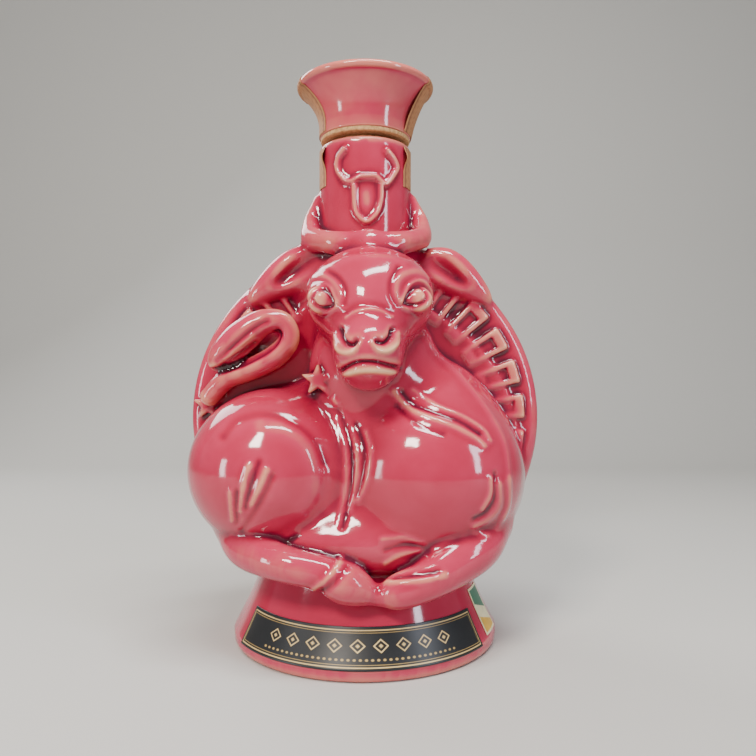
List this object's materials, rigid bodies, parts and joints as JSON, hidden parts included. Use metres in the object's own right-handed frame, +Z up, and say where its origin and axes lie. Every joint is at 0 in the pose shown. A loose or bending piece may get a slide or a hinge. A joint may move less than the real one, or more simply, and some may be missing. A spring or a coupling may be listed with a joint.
{
  "type": "figural liquor decanter",
  "caption": "Glazed ceramic decanter shaped as a bull lying on a flared foot in front of a round flask, with a straight neck and a flared cork stopper that lifts out and turns.",
  "frame": {"origin": "on the axis of the foot and the neck, at the foot's flat underside", "axes": "+Z up along the neck, +Y from the bull's face towards the back, +X to the right of someone facing the bull"},
  "size_m": [0.147, 0.1194, 0.2335],
  "materials": {
    "rose_glaze": "gloss",
    "label_paper": "satin",
    "sticker_paper": "satin",
    "strip_paper": "matte",
    "fibre": "matte",
    "cork": "matte"
  },
  "bodies": {
    "decanter": {"foot": "rose_glaze", "body_front": "rose_glaze", "body_back": "rose_glaze", "neck": "rose_glaze", "bull_head": "rose_glaze", "left_horn": "rose_glaze", "right_horn": "rose_glaze", "left_ear": "rose_glaze", "right_ear": "rose_glaze", "tail": "rose_glaze", "hind_leg": "rose_glaze", "fore_leg": "rose_glaze", "rim_star": "rose_glaze", "chin_star": "rose_glaze", "right_rays": "rose_glaze", "left_rays": "rose_glaze", "neck_emblem": "rose_glaze", "foot_label": "label_paper", "side_sticker": "sticker_paper", "left_neck_strip": "strip_paper", "right_neck_strip": "strip_paper"},
    "washer": {"stopper_washer": "fibre"},
    "stopper": {"stopper_head": "rose_glaze", "stopper_cork": "cork", "stopper_strip": "strip_paper"}
  },
  "joints": [
    {"name": "stopper_lift", "type": "slide", "parent": "decanter", "child": "washer", "axis": [0, 0, 1], "range_m": [-0.0018, 0.036]},
    {"name": "stopper_turn", "type": "hinge", "parent": "washer", "child": "stopper", "pos_m": [0, 0, 0.2085], "axis": [0, 0, 1], "continuous": true}
  ]
}
